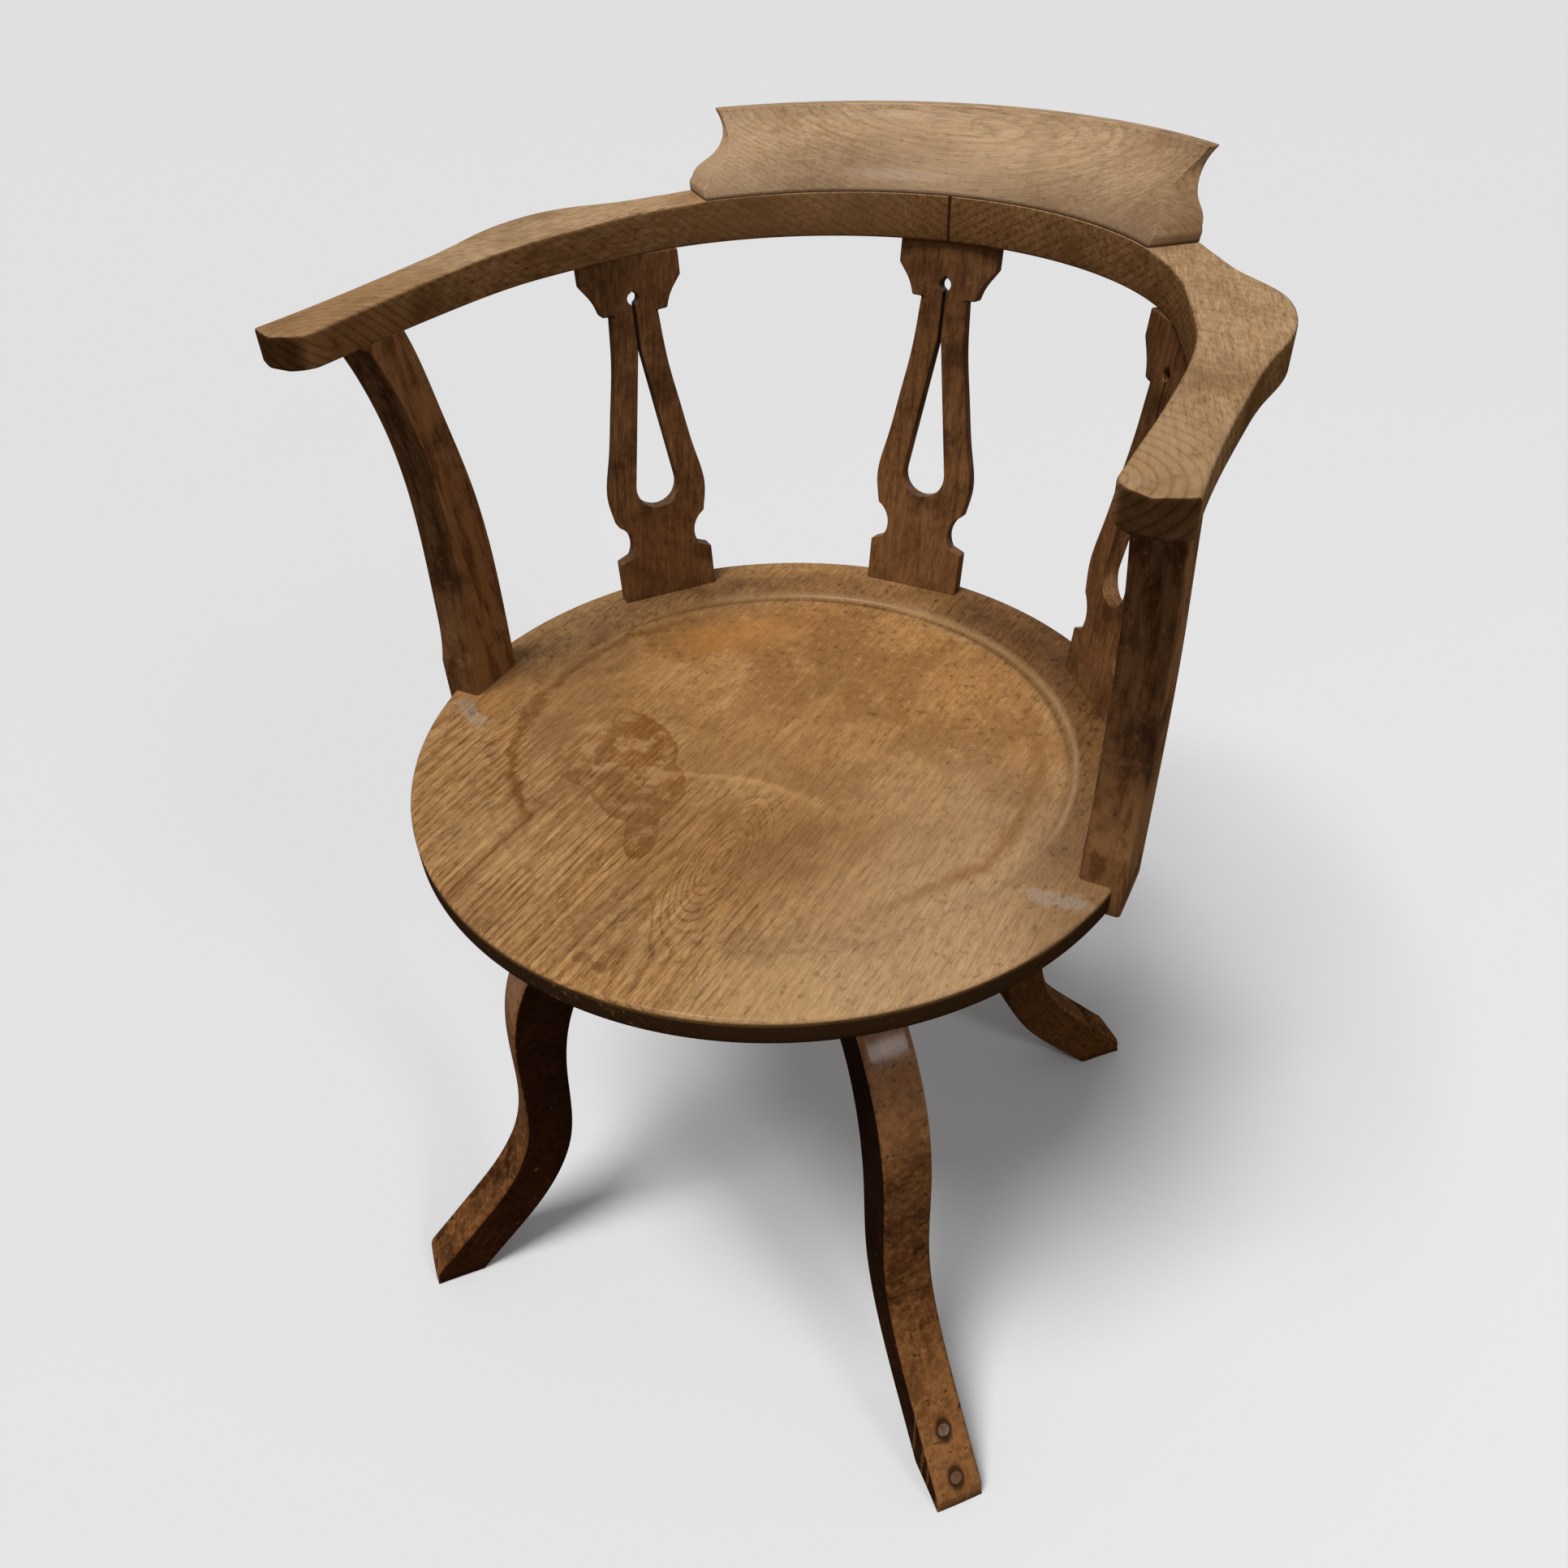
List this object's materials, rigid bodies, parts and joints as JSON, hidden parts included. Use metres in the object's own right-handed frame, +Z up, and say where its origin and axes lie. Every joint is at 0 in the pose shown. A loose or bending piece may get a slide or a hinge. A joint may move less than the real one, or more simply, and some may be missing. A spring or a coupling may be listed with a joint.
{
  "type": "captains chair",
  "caption": "Low-backed wooden swivel armchair with a round dished seat, a curved arm bow with a moulded crest, pierced splats and sabre legs on an iron spindle.",
  "frame": {"origin": "middle of the chair's footprint on the floor, midway between the crest's back and the front left toe; the swivel axis stands 35 mm in front of it", "axes": "+Z up, +Y towards the back of the seat, +X to the right seen from the front"},
  "size_m": [0.481, 0.5422, 0.7305],
  "materials": {
    "seat_oak": "worn waxed light oak, darker where the varnish has gone",
    "bow_oak": "worn waxed oak, light on top and dark at the edges",
    "splat_oak": "dark stained and varnished oak",
    "leg_oak": "reddish brown varnished oak with a soft gloss",
    "dowel_wood": "plain dry hardwood",
    "dark_iron": "blackened cast iron with a little rust",
    "bright_steel": "dull bare steel"
  },
  "bodies": {
    "base": {"hub": "leg_oak", "leg_back_right": "leg_oak", "leg_back_left": "leg_oak", "leg_front_left": "leg_oak", "leg_front_right": "leg_oak", "leg_dowels": "dowel_wood", "toe_screws": "bright_steel", "hub_socket": "dark_iron", "socket_screws": "bright_steel"},
    "seat": {"spider_plate": "dark_iron", "spider_screws": "bright_steel", "spindle": "bright_steel", "thrust_washer": "bright_steel", "keeper_washer": "bright_steel", "keeper_pin": "bright_steel", "seat_board_left": "seat_oak", "seat_board_middle": "seat_oak", "seat_board_right": "seat_oak", "seat_dowels": "dowel_wood", "arm_bow_right": "bow_oak", "arm_bow_left": "bow_oak", "bow_dowels": "dowel_wood", "crest_rail": "bow_oak", "crest_screws": "bright_steel", "splat_centre": "splat_oak", "splat_left": "splat_oak", "splat_right": "splat_oak", "arm_support_right": "splat_oak", "arm_support_left": "splat_oak", "support_dowels": "dowel_wood", "support_screws": "bright_steel"}
  },
  "joints": [
    {"name": "seat_swivel", "type": "hinge", "parent": "base", "child": "seat", "pos_m": [0, -0.03489, 0.33], "axis": [0, 0, 1], "continuous": true}
  ]
}
